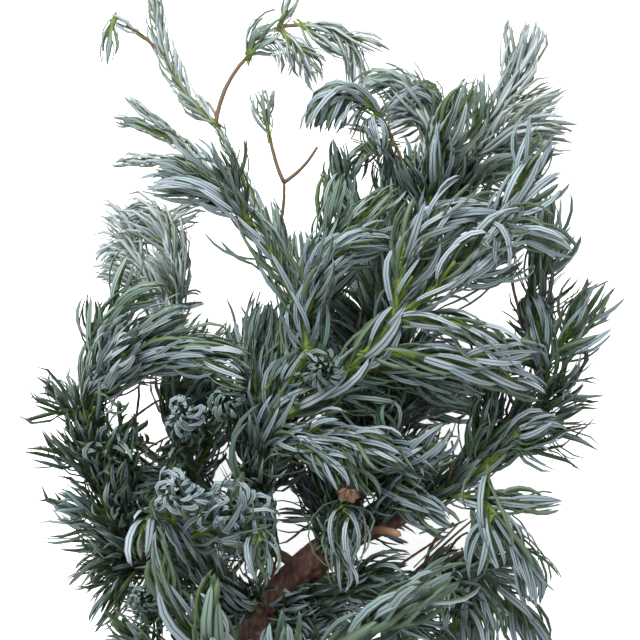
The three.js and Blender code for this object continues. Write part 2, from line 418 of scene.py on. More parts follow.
def blades(curves, stem, widths, faces, tint, full, dull):
    """Adds needles to their pile. curves holds the four control points of each, stem the
    spots and ways ahead of the stem at their feet, faces the way that the banded side
    looks, and dull which have dull bands."""
    across, thick, along, wide, strips = FULL_BLADE if full else PLAIN_BLADE
    curves[..., 2] = np.maximum(curves[..., 2], GROUND)
    count, around, rings = len(curves), len(across), len(along) + 1
    places = along[None, :, None]
    a, b, c, d = (curves[:, index][:, None, :] for index in range(4))
    spots = ((1 - places) ** 3 * a + 3 * places * (1 - places) ** 2 * b
             + 3 * places ** 2 * (1 - places) * c + places ** 3 * d)
    ahead = unit(3 * (1 - places) ** 2 * (b - a) + 6 * places * (1 - places) * (c - b)
                 + 3 * places ** 2 * (d - c))
    # The blade's foot runs down the stem
    stem_spots, stem_ahead = (values[:, None, :] for values in stem)
    root = a - (a - stem_spots) * 0.08 - stem_ahead * BASE_RUN
    spots = np.concatenate([root, spots], axis=1)
    ahead = np.concatenate([ahead[:, :1], ahead], axis=1)
    side = unit(np.cross(ahead, faces[:, None, :]))
    out = np.cross(side, ahead)
    wide = np.concatenate([[BASE_WIDE], wide])[None, :, None] * widths[:, None, None]
    points = (spots[:, :, None, :] + side[:, :, None, :] * (wide * across)[..., None]
              + out[:, :, None, :] * (widths[:, None, None] * thick)[..., None])
    points = np.concatenate([points.reshape(count, rings * around, 3), d], axis=1)
    quads, ring, corner = between_rings(rings, around)
    quad_kinds = strips[corner]
    if full:
        quad_kinds = np.where(ring == 1, BACK, quad_kinds)
    quad_kinds = np.where(ring == 0, BASE, quad_kinds)
    foot_ring = np.arange(around)
    foot_cap = np.stack([np.zeros(around - 2, int), foot_ring[2:], foot_ring[1:-1]], axis=1)
    tip = rings * around
    thirds = np.concatenate([fan(tip - around + foot_ring, tip), foot_cap])
    third_kinds = np.concatenate([np.where(strips == BRIGHT, BRIGHT, EDGE),
                                  np.full(around - 2, BASE)])
    offsets = (np.arange(count) * (tip + 1))[:, None, None]

    def dealt(kinds):
        """The material of each face of all the needles."""
        kinds = np.broadcast_to(kinds, (count, len(kinds))).copy()
        kinds[(kinds == BRIGHT) & dull[:, None]] = DULL
        return (kinds + list(TINTS).index(tint) * len(PARTS_OF_TINT)).reshape(-1)

    pile_for("needles" if full else "inner_needles").add(
        points.reshape(-1, 3), (quads[None] + offsets).reshape(-1, 4), dealt(quad_kinds),
        (thirds[None] + offsets).reshape(-1, 3), dealt(third_kinds))


def grow_needles(line, tint, length, spread, full, start=0.0, spacing=NEEDLE_SPACING,
                 hook=0.0, stem_radii=STEM_RADII, broad=1.0, open_top=USUAL_OPEN_TOP):
    """Needles round the stem from start to its end, swept ahead and drawn in at the tip.
    With hook they bulge and close again over the tip in a whorl, as in a rosette."""
    count = max(int((line.stem_length - start) / spacing), 6)
    share = (np.arange(count) + rng.random(count)) / count
    places = start + share * (line.stem_length - start)
    turns = np.arange(count) * GOLDEN_ANGLE + rng.normal(0, 0.2, count)
    young = np.clip((share - 0.7) / 0.3, 0, 1)
    lengths = NEEDLE_LENGTH * length * (0.86 + 0.18 * np.sin(math.pi * share) - 0.34 * young)
    lengths *= 1 + rng.normal(0, 0.05, count)
    spots, ahead, side, over = line.at(places)
    out = turned(side, over, turns[:, None])
    foot_radius, tip_radius = stem_radii
    stem_radius = (foot_radius + (tip_radius - foot_radius) * places / line.stem_length) * 0.9
    foot = spots + out * stem_radius[:, None]
    tip_spots, tip_ahead, tip_side, tip_over = line.at(places + lengths * 0.88)
    swirl = turns + rng.normal(0, 0.4, count) + hook * rng.normal(0.9, 0.2, count)
    tip_out = turned(tip_side, tip_over, swirl[:, None])
    apart = spread * (1.55 - 0.85 * young) * (1 - 0.25 * hook) * (1 + rng.normal(0, 0.2, count))
    apart = np.where(rng.random(count) < LOOSE_SHARE, apart * 2, apart)
    tip = tip_spots + tip_out * apart[:, None] + rng.normal(0, 0.18, (count, 3))
    lean = np.radians(rng.normal(36 + 44 * hook, 6, count))[:, None]
    curl = np.radians(rng.normal(24 + 56 * hook, 8, count))[:, None]
    handle = (lengths * (0.34 + 0.14 * hook))[:, None]
    first = foot + (ahead * np.cos(lean) + out * np.sin(lean)) * handle
    second = tip - (tip_ahead * np.cos(curl) - tip_out * np.sin(curl)) * handle
    curves = np.stack([foot, first, second, tip], axis=1)
    roll = rng.normal(0, 0.5, count)
    roll = np.where(rng.random(count) < BACK_SHARE, roll + math.pi, roll)[:, None]
    faces = unit(out * np.cos(roll) + np.cross(ahead, out) * np.sin(roll))
    widths = (NEEDLE_WIDTH * broad * (1 + rng.normal(0, 0.08, count))
              * np.clip(lengths / NEEDLE_LENGTH, 0.7, 1.05))
    # Fewer grow on the upper side, where the stem shows between them
    upper = np.clip((out[:, 2] - 0.35) / 0.45, 0, 1) * (1 - hook)
    kept = rng.random(count) > open_top * upper * full
    blades(curves[kept], (spots[kept], ahead[kept]), widths[kept], faces[kept], tint, full,
           rng.random(kept.sum()) < 0.4)


# Share of the radius, number of needles and rise of each ring of a whorl
WHORL_RINGS = ((1.0, 9, -0.8), (0.78, 7, 0.0), (0.55, 6, 0.5), (0.3, 4, 0.8))
WHORL_DEPTH = 2.4  # how far below its ring a needle starts


def whorl(place, axis, radius, tint):
    """A rosette seen from its tip: rings of needles that wind up and in over it."""
    axis, side, over = square_to(axis, [0.3, 1.0, 0.2])
    curves, faces, spots = [], [], []

    def spot_at(turn, reach, rise):
        return place + turned(side, over, turn) * reach + axis * rise

    for ring, (share, number, rise) in enumerate(WHORL_RINGS):
        for index in range(number):
            turn = (index + rng.normal(0, 0.25)) / number * 2 * math.pi + ring * 0.45
            reach = radius * share * (1 + rng.normal(0, 0.14))
            wind = rng.normal(0.55, 0.5)
            curves.append((spot_at(turn - 0.3, 0.35, rise - WHORL_DEPTH),
                           spot_at(turn - 0.1, reach * 1.15, rise - 1.2),
                           spot_at(turn + wind * 0.6, reach * 1.2, rise + 0.5),
                           spot_at(turn + wind * 1.3, reach * 0.5, rise + 0.6)))
            faces.append(axis + turned(side, over, turn + 0.5) * 0.5)
            spots.append(place + axis * (rise - WHORL_DEPTH))
    count = len(curves)
    widths = NEEDLE_WIDTH * rng.uniform(1.05, 1.4, count) * min(1, radius / 3.4)
    blades(np.array(curves), (np.array(spots), np.tile(axis, (count, 1))), widths,
           unit(np.array(faces)), tint, True, rng.random(count) < 0.65)


def cage(place, axis, radius, reach, count, tint):
    """Needles that hang from one spot, bow out and close again below it."""
    axis, side, over = square_to(axis, [0.0, 0.3, 1.0])

    def ring(turns, reach, drop):
        return (place + turned(side, over, turns[:, None]) * reach[:, None]
                + axis * drop[:, None])

    turns = np.arange(count) * GOLDEN_ANGLE + rng.normal(0, 0.35, count)
    wide = radius * rng.uniform(0.55, 1.25, count)
    far = reach * rng.uniform(0.7, 1.1, count)
    start = reach * rng.uniform(0, 0.25, count)
    wind = rng.normal(0.2, 0.6, count)
    curves = np.stack([ring(turns, np.full(count, 0.4), start),
                       ring(turns, wide * 1.35, start + far * 0.08),
                       ring(turns + wind, wide * 1.25, far * rng.uniform(0.6, 0.95, count)),
                       ring(turns + wind * 2, wide * rng.uniform(0.1, 0.7, count), far)], axis=1)
    stem = np.tile(place, (count, 1)), np.tile(axis * 0.05, (count, 1))
    blades(curves, stem, NEEDLE_WIDTH * rng.uniform(0.7, 1.1, count),
           turned(side, over, turns[:, None]), tint, True, rng.random(count) < 0.3)


# Stems of shoots and limbs

GREEN_STEM, BROWN_STEM, TAN_STEM = range(3)
BROWN_FEET = 0.3  # share of a green limb that is still brown


def tube(pile, line, foot_radius, tip_radius, sides, kind, rough, brown=0.0):
    """A closed tapering tube along the line, with a slight unevenness, brown up to a share."""
    steps = max(int(line.stem_length / STEM_STEP), 4)
    spots, ahead, side, over = line.at(np.linspace(0, line.stem_length, steps))
    turns = (np.arange(sides) * 2 * math.pi / sides)[None, :, None]
    radius = np.linspace(foot_radius, tip_radius, steps)[:, None]
    radius = radius * (1 + rng.normal(0, rough, (steps, sides)))
    points = spots[:, None] + turned(side[:, None], over[:, None], turns) * radius[..., None]
    tip = spots[-1:] + ahead[-1:] * tip_radius
    points = np.concatenate([points.reshape(-1, 3), spots[:1], tip])
    quads, step, _ = between_rings(steps, sides, True)
    foot_ring, middle = np.arange(sides), steps * sides
    thirds = np.concatenate([fan(foot_ring, middle),
                             fan(middle - sides + foot_ring, middle + 1, True)])
    kinds = np.where(step < brown * (steps - 1), BROWN_STEM, kind)
    pile.add(points, quads, kinds, thirds, np.full(len(thirds), kind))


# Growing the bough

# Where the model's own origin lies in the frame
ORIGIN = np.array([-2.127, 2.503, -0.821])
# Single needles seen against the light: foot and tip from the model's own origin, bow, and
# breadth against the usual
LOOSE = table("""
-8.3 7.9 26.8 -15.2 11.7 26.8 -0.6 -0.9 0 0.55
-8.8 7.3 26.8 -12.9 10.4 26.8 -0.3 -0.4 0 0.7
-11.1 -2.1 16.8 -12.4 2.9 16.8 0.4 0 0 0.5
-9.8 -2.1 16.8 -8.6 4.2 16.8 -0.4 0 0 0.5
-7.7 -1.3 16.8 -10.6 2.1 16.8 0 -0.5 0 0.5
16.2 1.8 24.8 25.6 7.6 24.8 0 -0.6 0 0.45
17.2 1 24.8 23.2 5.7 24.8 0.6 -0.4 0 0.4
18.5 3.9 24.8 26.6 6.8 24.8 0 0.5 0 0.5
16.7 4.7 24.8 23.5 7.6 24.8 0 0.4 0 0.55
-27.7 -6 22.8 -22 -8.6 22.8 0 -0.5 0 0.6
-27 -5.2 22.8 -20.7 -7.6 22.8 0 -0.8 0 0.6
-28 -9.9 22.8 -25.1 -11 22.8 0.2 -0.8 0 0.7
-27.5 -12 22.8 -24.9 -10.5 22.8 0.2 -0.8 0 0.7
-10 -20.7 28.8 -7.5 -10.6 30.8 -2.4 0.6 1 0.95
-10.4 -21.5 28.8 -9 -12.9 30.8 -1.8 0.4 1 0.8
7.3 -1.3 26.8 9.3 4.9 28.8 -0.9 0.4 0 0.6
0.3 -4.1 28.8 0.8 2.3 29.8 0.5 0 0 0.9
-6.5 -8.3 30.8 -2.8 -4.1 31.8 -0.6 0.8 0 0.8
14.5 -27.7 18.8 19.7 -26 19.8 0 -0.4 0 0.5
13.4 -31.6 18.8 18.7 -26.3 19.8 0.3 0.2 0 0.5
""")

# Shoots that have no solid of their own: name, carrier and place on it, tip from the
# model's own origin, bow, then as for the sprays
EXTRAS = table("""
left_edge_shoot top_left_spray 0.5 -28.6 41.2 4.8 0 0.4 0 pale 0 0 0.45 0.2
left_side_shoot left_arching_spray 0.62 -29.2 27.4 5.8 0 0.4 0 haze 0 0 0.4 0.2
left_low_shoot left_arching_spray 0.4 -29.2 20.7 6.8 0 1 0 pale 0 0 0.4 0.2
top_edge_shoot top_clump 0.95 -3.1 44.2 4.8 0 0 0 pale 0 0 0.4 0.3
top_green top_blue 0.15 6.3 31.3 8.8 0.4 3.2 0 haze 0.12 3 0.8 0.9
top_clump_side top_clump 0.45 -4.6 34.7 5.8 0.8 0.9 0 pale 0.1 0 0.7 0.6
back_drop_left curl 0.42 3.5 19.2 11.8 -0.3 1.4 0 haze 0.05 1 0.65 0.6
back_drop_middle curl 0.12 10.1 20.3 10.8 -0.6 0.6 0 deep 0.03 2 0.9 0.8
back_drop_low leader 0.93 2.1 23.2 11.8 -1.9 0.7 0 deep 0 4 0.85 0.9
upright_left upright 0.05 15.8 23.9 19.8 0.3 0 0.6 silver 0 0 1 0.5
right_back_side right_back 0.3 30.3 25 12.8 0 0.5 0 pale 0.02 1 1 0.8
right_back_low back_right_bough 0.6 20 20.7 10.8 -0.6 0.6 0 haze 0.06 2 0.9 0.8
right_back_fill back_right_bough 0.78 26.7 20.7 10.8 0 0.6 0 haze 0.04 2 0.9 0.8
right_tassel right_plume 0.6 23.6 9.6 30.8 0.6 4.2 0.4 silver 0.1 2 1 1
right_bundle right_plume 0.75 30.1 10.4 27.8 0 1.5 0 silver 0.03 1 1 0.8
right_stem_shoot right_bough 0.78 29.6 -13.1 22.8 0 1.4 1 silver 0 1 0.9 0.6
right_low_shoot right_bough 0.5 30.6 -24 20.8 -1 -0.4 1 silver 0 0 0.85 0.6
inner_tuft leader 0.3 16.7 -14.1 23.8 0.6 -1.6 2 blue 0 2 0.85 0.9
inner_spray leader 0.36 14.7 -19.6 22.8 0.4 1.2 2 blue 0.1 2 0.85 0.9
hanging_tip centre_bough 0.6 1.7 -19.8 25.8 0.6 2.2 1 blue 0.1 1 0.7 0.8
left_rosette left_middle_bough 0.6 -17.6 -11.9 28.8 0 0 1 blue 0.1 2 0.75 1.1
inner_rosette left_middle_bough 0.5 -11.9 -10.4 28.8 0 0 1 deep 0.1 2 0.75 1.1
left_low_green left_bough 0.55 -26.4 -18.3 22.8 0 0 1 deep 0 4 0.9 0.9
left_corner_green left_bough 0.66 -22.3 -21 20.8 0 0.6 1 deep 0 4 0.9 0.9
low_rosette left_bough 0.2 -22.6 -36 29.8 -2 0 0 deep 0 2 0.8 1.1
near_rosette_right near_brush 0.45 -11.2 -24 36.8 0 0 0.6 blue 0 2 0.8 1.2
near_rosette_low near_brush 0.8 -8.7 -29 34.8 0.8 0.4 0.6 blue 0.3 3 0.85 1.1
near_hook front_left_bough 1 -23 -29.7 36.8 -1.2 1.6 0 silver 0.25 0 0.8 0.5
near_middle_side front_low_bough 0.9 -5.5 -40.3 38.8 0 -1 2 near 0 2 1 1
near_left_side front_low_bough 0.45 -27 -38.7 26.8 0 -2 0 deep 0 4 0.9 0.9
fork_stem back_left_bough 0.68 -4.8 18.6 7.8 0.5 -0.5 0 pale 0 0 0.4 0.3
fork_twig_left fork_stem 1 -7.7 30.4 6.8 -0.2 -1.2 0 haze 0 0 0.55 0.45
fork_twig_right fork_stem 1 -0.3 23.3 7.8 0.3 -0.3 0 pale 0 0 0.4 0.3
middle_back_high leader 0.9 7 15.4 9.8 -1 1 0 deep 0.03 4 0.9 0.9
middle_back_low leader 0.8 4 10.7 11.8 -1 1.5 0 fresh 0.03 4 0.9 0.9
middle_back_under leader 0.7 3.3 -1.3 12.8 -0.6 1.5 0 deep 0.03 4 0.9 0.9
middle_back_side leader 0.74 0.3 2.7 12.8 -0.6 2.5 0 deep 0.05 4 0.9 0.9
middle_back_top leader 0.97 9.5 21.7 9.8 -0.5 0.5 0 deep 0.03 3 0.9 0.9
dark_knot left_back 0.15 -16 2.7 12.8 0 0.4 0 deep 0.1 4 0.42 0.7
left_back_inner left_back 0.1 -20.1 7.8 9.8 0.2 0.2 0 pale 0.02 2 0.9 0.8
left_hedge left_middle_bough 0.85 -16.4 -1.3 14.8 0.2 0.4 0 deep 0.02 3 0.8 0.9
left_back_third left_back_outer 0.25 -28.6 5.9 9.8 0.2 2.4 0 pale 0.3 2 0.8 0.8
left_back_fourth left_back 0.3 -24.9 14.2 8.8 1.4 1.6 0 pale 0.3 3 0.85 0.8
left_back_side left_back 0.15 -19.5 12.3 8.8 0.4 0 0 pale 0.1 1 0.9 0.6
left_back_upper left_back_fourth 0.6 -17.4 15 8.8 -0.2 0.6 0 pale 0.06 1 0.8 0.7
left_back_edge left_back_outer 0.6 -28.1 14.5 8.8 0.6 0.8 0 pale 0.3 1 0.85 0.8
left_low_back left_middle_bough 0.8 -11.2 -1.3 12.8 0.4 -0.4 0 deep 0.05 2 0.7 0.9
left_brush_cover left_bough 0.99 -18.8 0.3 24.8 -0.4 1.6 0.6 fresh 0.03 4 1 0.85
left_brush_middle left_bough 0.99 -14.8 -2.9 25.8 -0.4 1.2 0.6 blue 0.03 4 1 0.85
top_blue_arch top_bough 0.92 9.6 27.8 10.8 1.4 3 0 pale 0.15 3 0.9 0.9
under_fan centre_bough 0.85 3.3 6.6 20.8 -1.2 1.6 0 deep 0.02 3 1 0.9
under_arch right_shoot 0.55 19.7 -10.5 21.8 0 1.6 0 deep 0.1 4 0.9 1
low_cover low_right_bough 0.2 10 -32.5 17.8 0 0.3 1 deep 0.05 4 0.9 0.9
low_cover_left stem 0.9 0.3 -26.3 19.8 0.4 0 1 deep 0.05 3 0.8 0.9
low_cover_right low_right_bough 0.8 15.8 -36.4 17.8 0 0.5 1 blue 0.02 3 0.9 0.9
hedge_right right_edge_bough 0.5 25.9 0.3 17.8 0 0.5 0 deep 0.02 2 0.7 0.7
under_shoot right_shoot 0.3 9.4 -11.1 22.8 0 0.6 0 deep 0.2 3 0.8 1
left_edge_hang left_edge_shoot 0.9 -28.5 34.2 5.8 -0.3 0.8 0 haze 0.05 0 0.5 0.45
right_under right_plume 0.45 25 7.3 26.8 0 -0.6 0 blue 0 2 0.9 0.8
right_inner right_bough 0.6 22.7 -8.4 18.8 0.6 0.4 0 deep 0.02 3 0.9 0.9
dark_upright_right dark_upright 0.3 -5.4 0.8 17.8 0.2 0 0 deep 0 2 0.9 0.8
dark_upright_left dark_upright 0.1 -10.6 -1.3 15.8 -0.3 0 0 deep 0 3 0.9 0.9
fan_left back_left_bough 0.45 -2.9 11.2 8.8 0 0.2 0 haze 0 1 0.8 0.8
fork_base back_left_bough 0.6 -6.8 15.3 7.8 0 0.2 0 haze 0 0 0.7 0.6
gap_tuft leader 0.05 -4.8 -25.9 15.8 0 0.3 0 deep 0.05 2 0.7 0.9
stub_cover middle_brush 0.6 4.8 -21.4 26.8 0 0.6 0.8 deep 0.02 3 0.6 0.7
low_right_upper drooping_spray 0.5 28 -35.9 16.8 0.9 0.8 0 blue 0.03 2 1 0.9
low_left_fill left_bough 0.42 -28.4 -37.9 14.8 0 0.5 1 deep 0 4 0.9 0.9
low_left_edge left_bough 0.5 -28.3 -32.3 10.8 0 0.5 1 shade 0 4 0.9 0.9
right_back_high back_right_bough 0.92 21 30.3 8.8 0.3 0 0 haze 0 3 0.8 0.8
gap_fill_right leader 0.12 -0.9 -21.8 13.8 0 0.2 0 deep 0 3 0.7 0.9
short_fill leader 0.08 10.2 -28.6 13.8 0 0.2 0 deep 0.03 3 0.75 0.9
low_corner_left low_right_bough 0.97 22 -41.8 8.8 0.6 0.4 0 blue 0.02 4 1 1
right_arch_under right_edge_bough 0.4 24.8 -4.5 17.8 0 0.4 0 deep 0.03 2 0.85 0.9
rosette_back left_middle_bough 0.7 -14.3 -8.8 14.8 0 0.4 0 deep 0 3 0.8 0.9
left_brush_high left_bough 0.98 -21.5 3.9 22.8 -1.2 3.9 0.4 fresh 0.06 3 1 0.85
fork_tuft_left fork_twig_left 0.72 -8.5 30 6.8 0 0 0 haze 0 0 0.42 0.3
fork_tuft_right fork_twig_left 0.76 -6.9 29.8 6.8 0 0 0 haze 0 0 0.42 0.3
curl_inner curl 0.66 1.6 26 15.2 0.1 2 0 silver 0.2 0 0.7 0.8
curl_low curl 0.6 3.4 26 14.8 0.3 1.3 0 blue 0.2 0 0.7 1
curl_top curl 0.75 -0.5 27 15.6 0.1 1.6 0 blue 0.2 0 0.75 0.8
top_clump_low thin_twig 1 -5.9 37.8 3.8 -0.6 0.6 0 haze 0 0 0.55 1
top_clump_high thin_twig 1 -7 39.7 3.8 -0.8 0.6 0 haze 0 0 0.55 1
brush_end middle_brush 0.3 2.9 -21.6 27.3 0.6 1 0.8 blue 0.02 2 0.7 0.8
top_blue_low top_bough 0.95 9.6 26.2 9.8 1.6 2 0 pale 0.1 2 0.8 0.9
curl_foot top_bough 0.45 11.1 20.8 17.8 0.2 0 0.4 deep 0 1 0.75 0.7
plume_top centre_shoot 0.92 -19.8 19.8 26.3 0.6 0.8 0 blue 0.08 1 0.95 0.9
""")
# How far the needles of some shoots close over the tip
HOOKED = by_value("""
0.3 right_tassel drooping_spray short_spray inner_tuft inner_spray under_arch
0.35 tassel
0.4 near_rosette left_dark
0.5 hanging_tip near_rosette_right dark_knot under_shoot
0.6 near_brush low_rosette
0.7 near_rosette_low
""")
# The share of their stem up to which some shoots are bare
BARE = by_value("""
0.3 top_tuft top_hanging
0.55 curl
0.7 fork_twig_left left_edge_shoot
1 fork_stem fork_twig_right
""")
# The share of needles left out on top, where the stem of a limb or shoot shows more
OPEN_TOP = by_value("""
0.4 right_upright
0.45 centre_shoot
0.55 centre_bough
0.6 right_shoot
""")
# The radius at the foot of stems that are thicker than usual
THICK = by_value("""
0.55 right_plume
0.6 right_upright
0.65 centre_shoot
0.85 right_shoot
""")
# Whorls at the ends of shoots: the shoot, the way that the whorl faces, and its radius
WHORLS = {name: way_and_radius for name, *way_and_radius in table("""
rosette 0 0 1 2.9
left_rosette -0.1 0.2 1 2.8
inner_rosette 0.1 0.3 1 2.7
near_rosette -0.2 0.1 1 3.3
low_rosette -0.2 0 1 2
near_rosette_right 0.2 -0.1 1 3.8
""")}
# Needles that hang like a cage: place from the model's own origin, the way that they hang,
# radius, length, number and tint
CAGES = table("""
2.9 -23.4 22.8 0.05 -1 0.1 3.7 8.4 10 blue
3.8 -24.2 22.8 0.05 -1 0.1 2.4 8.2 7 silver
8.9 -9.9 24.8 0.1 -1 -0.1 1.8 5 8 deep
6.9 27.2 16.3 0.2 -1 0 1.8 5.4 16 silver
""")
# Breadth of the needles of some shoots against the usual. Broader ones stand farther apart
BROAD = by_value("""
0.94 left_back left_back_outer
0.98 right_top right_back top_blue top_hanging top_tuft
1.2 upright
1.23 right_fan
1.25 right_crown middle_brush centre_shoot
1.29 hanging_tip left_dark
1.3 upright_left curl
1.32 tassel
1.34 right_plume right_arch right_tassel right_bundle right_side short_spray inner_tuft
1.34 near_rosette_low curl_inner
1.4 low_blue low_corner
1.46 right_low_arch near_rosette near_brush near_rosette_right near_left_side
1.51 right_stem_shoot right_low_shoot
1.52 right_upright
1.55 drooping_spray
1.59 right_shoot
1.79 near_hook
1.96 near_left near_middle
2.13 near_right near_middle_side
""")
# Shoots that nod another way than down
LEFT_DOWN = np.array([-1.0, -0.5, -0.1])
WAYS = dict.fromkeys(("left_plume", "left_back", "left_back_outer", "left_back_third",
                      "left_back_fourth", "left_back_edge"), LEFT_DOWN)
# Filling shoots: their limb, how many, how long, and between which shares of it
FILL = table("""
stem 13 13 0.15 0.95
leader 20 13 0 0.8
right_bough 15 11 0.1 1
right_edge_bough 4 7 0.1 0.9
left_bough 18 12 0.15 1
left_middle_bough 11 10 0.1 0.7
front_left_bough 9 9 0.1 0.9
front_low_bough 9 9 0.1 0.9
centre_bough 12 11 0.1 0.7
low_right_bough 12 11 0.2 1
top_bough 5 8 0.1 0.8
back_right_bough 6 8 0.1 0.9
""")
FILL_CEILING = 24
# Tint and size of the needles that grow on some green limbs themselves
LIMB_NEEDLES = {
    "back_left_bough": ("pale", 0.42), "back_right_bough": ("pale", 0.42),
    "left_middle_bough": ("deep", 0.45),
}
# Openings through which the ground shows: middle and half sizes, from the view's middle
GAPS = np.array(table("""
-13.4 5.5 4.3 7.8
21.1 3.6 4.6 3.4
13.7 -30.2 2.9 3.1
24.1 -19.1 2.1 1.8
24.7 -25.4 1.2 1.7
-4 -27 1.7 4.9
-21.5 -16 1.2 2.6
-14.3 -18.5 1.2 2.1
5.9 19.5 1.8 1.8
13 22 1.7 1.6
2 3.6 1.2 0.9
23.4 -35.1 2.3 1.8
7.4 -40.6 1.6 1.2
-2.6 14 2.5 4
15.6 36.4 5.2 5.2
13 -12.2 1.5 0.9
17.9 -14.6 1.5 1.1
23.7 -11.4 0.8 1.1
15.2 -20.8 0.8 0.8
4.7 3.1 1 1.2
-4.6 -23.4 2.2 1.8
-4.6 -30.5 1.8 2.8
-22.1 -34.1 2.1 0.9
-18.5 -29.6 0.7 0.5
-13.3 -30 0.9 0.6
20.5 -25.3 1.5 1
12.6 -27.7 3.2 1.6
17.2 -24.8 1.2 1.2
17.9 -13.5 2.2 1.7
-23.7 -9.4 3.4 2.1
25 -19 2.3 1.7
-13.7 -1 1.6 2
-1.6 -32.5 2.6 2.6
3.8 -22.8 1.7 1.6
"""))

GAP_MARGIN = 0.4

stems = Pile()


def in_gap(spots):
    """Whether any spot shows in one of the openings."""
    nearer = CAMERA_ABOVE / (CAMERA_ABOVE + FOCUS_HEIGHT - spots[:, 2])
    seen = (spots[:, :2] - AIM) * nearer[:, None]
    off = (seen[:, None, :] - GAPS[None, :, :2]) / (GAPS[None, :, 2:] + GAP_MARGIN)
    return bool(((off ** 2).sum(axis=2) < 1).any())


def side_shoots(line, count, reach, nod, first=0.12, last=0.8, ceiling=60,
                lean_range=(24, 40), way=DOWN):
    """Lines of side shoots all round the line. Those that would close an opening, sink
    into the ground or pass the ceiling are tried again and then left out."""
    made = []
    for index in range(count):
        for attempt in range(TRIES):
            share = (index + rng.random() * 0.6) / max(count, 1)
            place = line.full * (first + (last - first) * share)
            spot, ahead, side, over = line.at_one(place)
            turn = index * SHOOT_TURN + rng.normal(0, 0.3 + 0.4 * attempt)
            out = turned(side, over, turn)
            length = reach * (1 - 0.65 * place / line.full) * rng.uniform(0.8, 1.2)
            lean = math.radians(rng.uniform(*lean_range))
            bend = spot + turned(ahead, out, lean) * length * 0.5
            tip = bend + unit(ahead * 0.85 + out * 0.35 + way * nod * 2) * length * 0.5
            middle = (spot + 2 * bend + tip) / 4
            shoot = arc(spot, middle, tip, nod, NEEDLE_LENGTH * SIDE_TAIL, SIDE_SHORT, way)
            if GROUND + 1 <= tip[2] <= ceiling and not in_gap(shoot.spots[8:]):
                made.append(shoot)
                break
    return made


def grow_shoot(line, tint, length, spread, full=True, hook=0.0, broad=1.0, bare=0.0,
               thick=STEM_RADII[0], open_top=USUAL_OPEN_TOP):
    """The needles and the stem of one shoot."""
    if bare < 1:
        grow_needles(line, tint, length, spread, full, bare * line.stem_length,
                     NEEDLE_SPACING * broad ** 1.6, hook, (thick, STEM_RADII[1]), broad, open_top)
    if bare:
        tube(stems, line, *BARE_RADII, STEM_SIDES, BROWN_STEM, SMOOTH)
    else:
        tube(stems, line, thick, GREEN_TIP, STEM_SIDES, GREEN_STEM, SMOOTH)


def grow_spray(name, foot, middle, tip, tint, nod, sides, length, spread):
    """A shoot with its side shoots, and its whorl if it has one."""
    bare, hook, broad = BARE.get(name, 0), HOOKED.get(name, 0), BROAD.get(name, 1)
    full, way = tint != "pale", WAYS.get(name, DOWN)
    short = WHORL_SHORT if name in WHORLS else SHORT * (bare < 1)
    line = lines[name] = arc(foot, middle, tip, nod, NEEDLE_LENGTH * TAIL, short, way)
    grow_shoot(line, tint, length, spread, full, hook, broad, bare,
               THICK.get(name, STEM_RADII[0]), OPEN_TOP.get(name, USUAL_OPEN_TOP))
    if name in WHORLS:
        *facing, radius = WHORLS[name]
        whorl(line.share(1), facing, radius, tint)
    for side in side_shoots(line, int(sides), max(line.full * 0.5, 6), nod, way=way):
        grow_shoot(side, tint, length * 0.88, spread * 0.85, full, hook * 0.6, broad)


def bowed(carrier, at, place):
    """Foot, middle and tip of a route, from its carrier, the tip's place and the bow."""
    foot, tip = lines[carrier].share(at), np.array(place[:3]) + ORIGIN
    return foot, (foot + tip) / 2 + place[3:], tip


for name, carrier, at, tint, nod, sides, length, spread, *bent in SPRAYS:
    rng = seeded(name)
    foot = lines[carrier].share(at)
    if bent:
        tip, middle = np.reshape(bent, (2, 3)) + ORIGIN
    else:
        points = node_points(name)
        tip = points[np.argmax(np.linalg.norm(points - foot, axis=1))]
        middle = middle_of(points, foot, tip)
    grow_spray(name, foot, middle, tip, tint, nod, sides, length, spread)

for name, carrier, at, *place, tint, nod, sides, length, spread in EXTRAS:
    rng = seeded(name)
    grow_spray(name, *bowed(carrier, at, place), tint, nod, sides, length, spread)

for index, (*place, radius, reach, count, tint) in enumerate(CAGES):
    rng = seeded(f"cage_{index}")
    cage(place[:3] + ORIGIN, place[3:], radius, reach, int(count), tint)

loose = np.array(LOOSE)
foot, tip = loose[:, :3] + ORIGIN, loose[:, 3:6] + ORIGIN
# The inner control points of a curve lie a third farther out than its bow
bow, breadth = loose[:, 6:9] * 1.33, loose[:, 9]
curves = np.stack([foot, foot * 0.67 + tip * 0.33 + bow, foot * 0.33 + tip * 0.67 + bow, tip],
                  axis=1)
blades(curves, (foot, unit(tip - foot)), NEEDLE_WIDTH * breadth,
       np.tile([0.2, -0.3, 1.0], (len(loose), 1)), "deep", True, np.ones(len(loose), bool))

rng = seeded("needles_of_limbs")
for name, line_radii in radii.items():
    if name not in WOODY and name != "thin_twig":
        line = lines[name]
        back = name.startswith("back")
        tint, size = LIMB_NEEDLES.get(name, ("blue", 1))
        grow_needles(line, tint, size, size, not back, line.full * 0.1,
                     NEEDLE_SPACING * (1.2 if back else 0.8), 0,
                     [radius * SLIM for radius in line_radii], 1.0,
                     OPEN_TOP.get(name, USUAL_OPEN_TOP))
for name, young in WOODY.items():
    if young < 1:
        grow_needles(lines[name], "shade", 0.8, 0.8, True, young * lines[name].full,
                     NEEDLE_SPACING * 1.2, 0, radii[name], 1.2)

for name, count, reach, first, last in FILL:
    rng = seeded(f"fill_{name}")
    shoots = side_shoots(lines[name], int(count), reach, 0.02, first, last, FILL_CEILING, (35, 75))
    for shoot in shoots:
        # The filling shoots lie inside the bough, and their dark tints are painted shade
        tint = rng.choice(["shade", "deep", "shade"])
        grow_shoot(shoot, tint, 0.95, 1.0, False)
        for side in side_shoots(shoot, 2, reach * 0.6, 0.04, 0.2, 0.85, FILL_CEILING):
            grow_shoot(side, tint, 0.85, 0.9, False)


# The woody limbs

